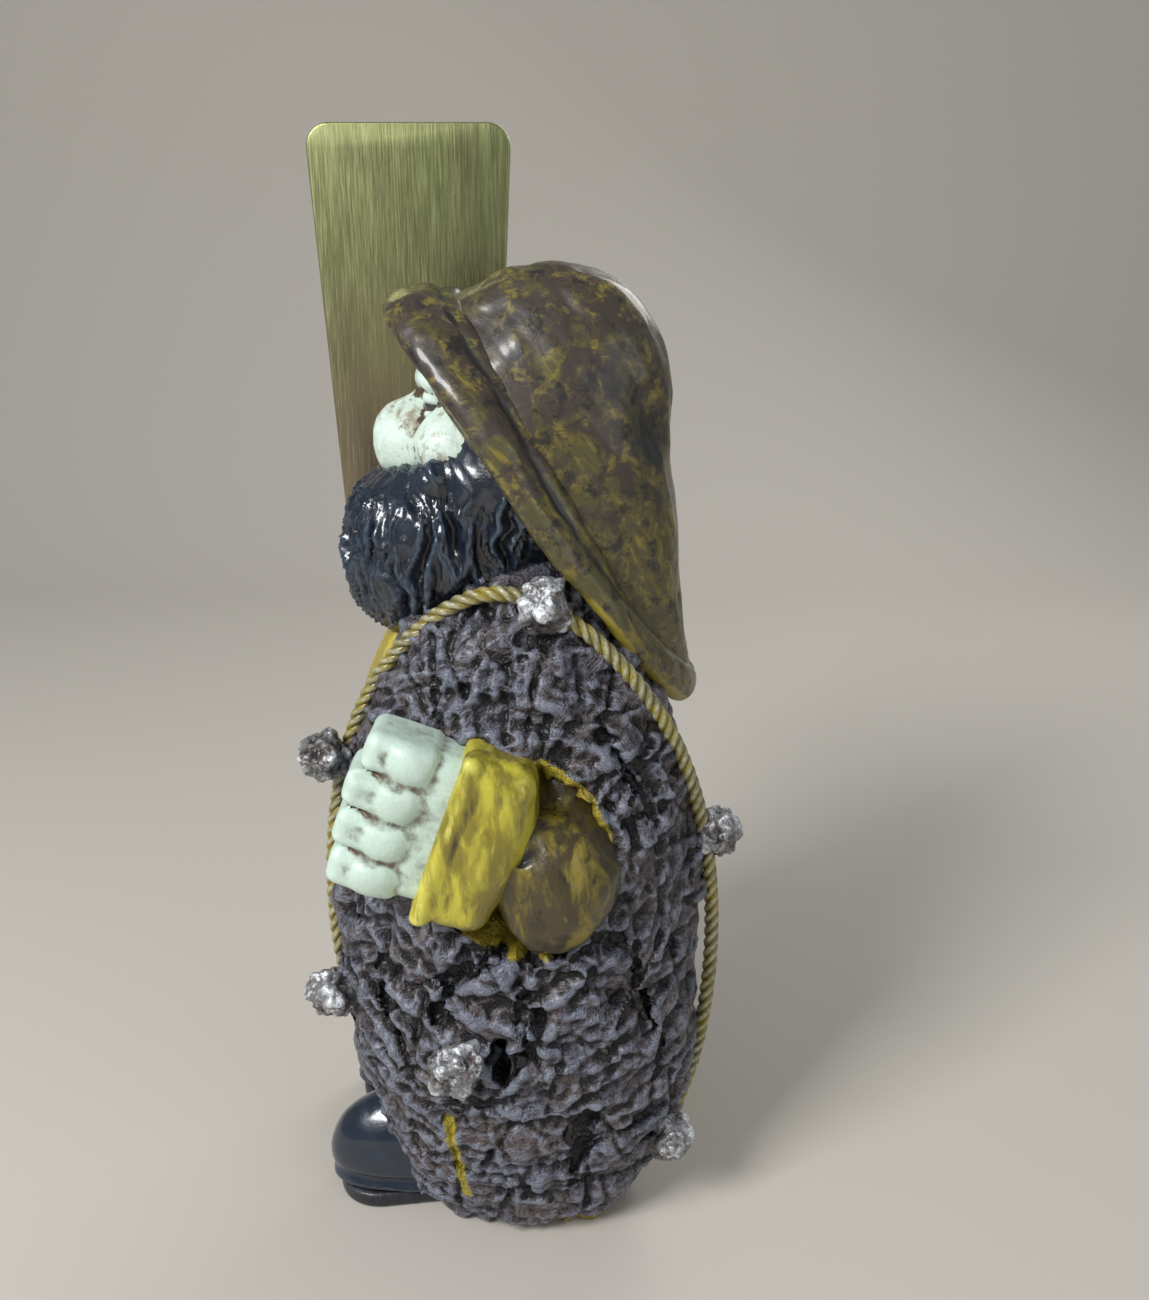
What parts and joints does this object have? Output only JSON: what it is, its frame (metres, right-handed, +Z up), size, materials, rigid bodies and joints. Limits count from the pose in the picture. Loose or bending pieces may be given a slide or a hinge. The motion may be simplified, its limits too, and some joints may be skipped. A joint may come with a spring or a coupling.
{
  "type": "souvenir bottle opener",
  "caption": "Small standing oilskin fisherman with a draped net, holding a flat metal oar that lifts out and opens crown caps.",
  "frame": {"origin": "on the ground, under the middle of the object's box", "axes": "+Z up and along the height, the fisherman faces -X, his left side with the net is -Y"},
  "size_m": [0.0784, 0.0769, 0.1965],
  "materials": {
    "boot_enamel": "glossy near-black enamel on cast resin",
    "boot_sole": "satin near-black paint on cast resin",
    "trouser_cloth": "brown antiqued paint on cast resin",
    "skin_paint": "pale cream paint with brown antiquing",
    "hat_varnish": "mottled brown and olive paint under gloss varnish",
    "beard_enamel": "glossy blue-black enamel",
    "oilskin_yellow": "mustard yellow paint with brown antiquing, varnished",
    "button_paint": "dark brown paint, varnished",
    "sleeve_oilskin": "brown and olive paint over yellow, varnished",
    "cuff_yellow": "bright yellow paint with brown antiquing, varnished",
    "hand_paint": "pale cream paint with brown lines between the fingers",
    "oar_brass": "brushed brass-plated steel, grain along the oar",
    "line_rope": "yellow and brown paint with pale dry-brushed strands",
    "float_silver": "brown paint with silver-grey dry brushing, varnished",
    "net_gauze": "crumpled gauze in grey-brown paint with pale dry brushing"
  },
  "bodies": {
    "figure": {"left_sole": "boot_sole", "right_sole": "boot_sole", "left_boot": "boot_enamel", "right_boot": "boot_enamel", "left_trouser": "trouser_cloth", "right_trouser": "trouser_cloth", "head": "skin_paint", "hat_brim": "hat_varnish", "hat_crown": "hat_varnish", "beard": "beard_enamel", "collar": "oilskin_yellow", "coat": "oilskin_yellow", "coat_button_1": "button_paint", "coat_button_2": "button_paint", "coat_button_3": "button_paint", "left_sleeve": "sleeve_oilskin", "right_sleeve": "sleeve_oilskin", "left_cuff": "cuff_yellow", "right_cuff": "cuff_yellow", "left_hand": "hand_paint", "right_hand": "hand_paint", "float_line": "line_rope", "net_float_1": "float_silver", "net_float_2": "float_silver", "net_float_3": "float_silver", "net_float_4": "float_silver", "net_float_5": "float_silver", "net_float_6": "float_silver", "net_drape": "net_gauze"},
    "oar": {"oar_opener": "oar_brass"}
  },
  "joints": [
    {"name": "oar_lift", "type": "slide", "parent": "figure", "child": "oar", "axis": [0, 0, 1], "range_m": [0, 0.077]}
  ]
}
